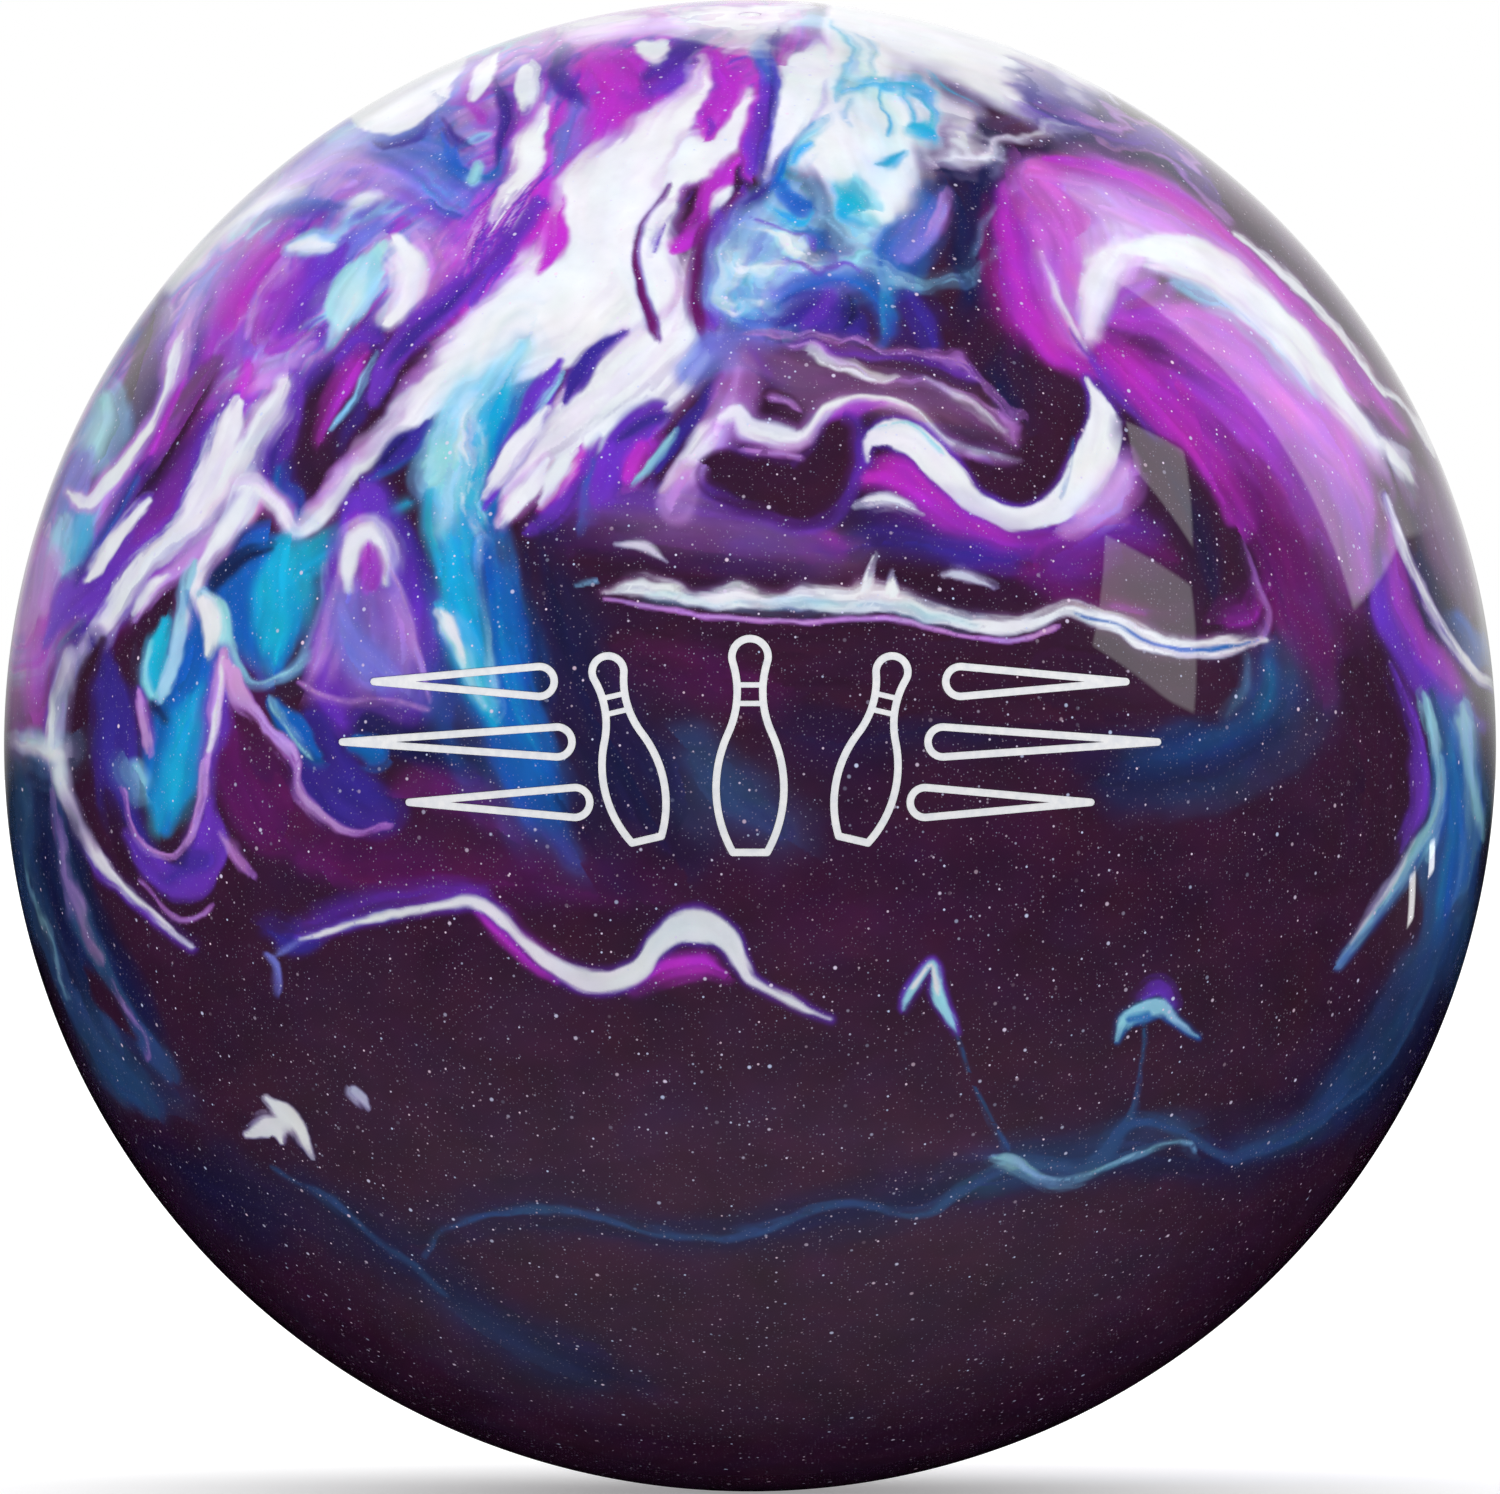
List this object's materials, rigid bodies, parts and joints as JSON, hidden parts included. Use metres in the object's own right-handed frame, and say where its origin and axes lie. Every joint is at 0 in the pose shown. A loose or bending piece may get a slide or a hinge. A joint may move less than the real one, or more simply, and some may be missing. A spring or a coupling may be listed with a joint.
{
  "type": "bowling ball",
  "caption": "Undrilled tenpin bowling ball: marbled polyester coverstock cast round a light core with a pancake weight block, a pin plug and an enamelled engraved emblem.",
  "frame": {"origin": "centre of the ball", "axes": "+Z from the centre to the pin plug, -Y from the centre to the middle of the engraved emblem, +X to the right of the emblem as it is read"},
  "size_m": [0.2171, 0.2171, 0.2172],
  "materials": {
    "coverstock_resin": "polished polyester resin, marbled plum, violet, blue and white",
    "core_filler": "cast filled resin, unpolished",
    "weight_block_resin": "cast dense resin, unpolished",
    "pin_resin": "polished with the ball",
    "white_enamel": "white paint laid into the engraving"
  },
  "bodies": {
    "root": {"coverstock": "coverstock_resin", "inner_core": "core_filler", "weight_block": "weight_block_resin", "pin_plug": "pin_resin", "emblem_pin_centre_enamel": "white_enamel", "emblem_pin_left_enamel": "white_enamel", "emblem_pin_right_enamel": "white_enamel", "emblem_streak_upper_left_enamel": "white_enamel", "emblem_streak_upper_right_enamel": "white_enamel", "emblem_streak_middle_left_enamel": "white_enamel", "emblem_streak_middle_right_enamel": "white_enamel", "emblem_streak_lower_left_enamel": "white_enamel", "emblem_streak_lower_right_enamel": "white_enamel", "cg_mark_enamel": "white_enamel"}
  },
  "joints": []
}
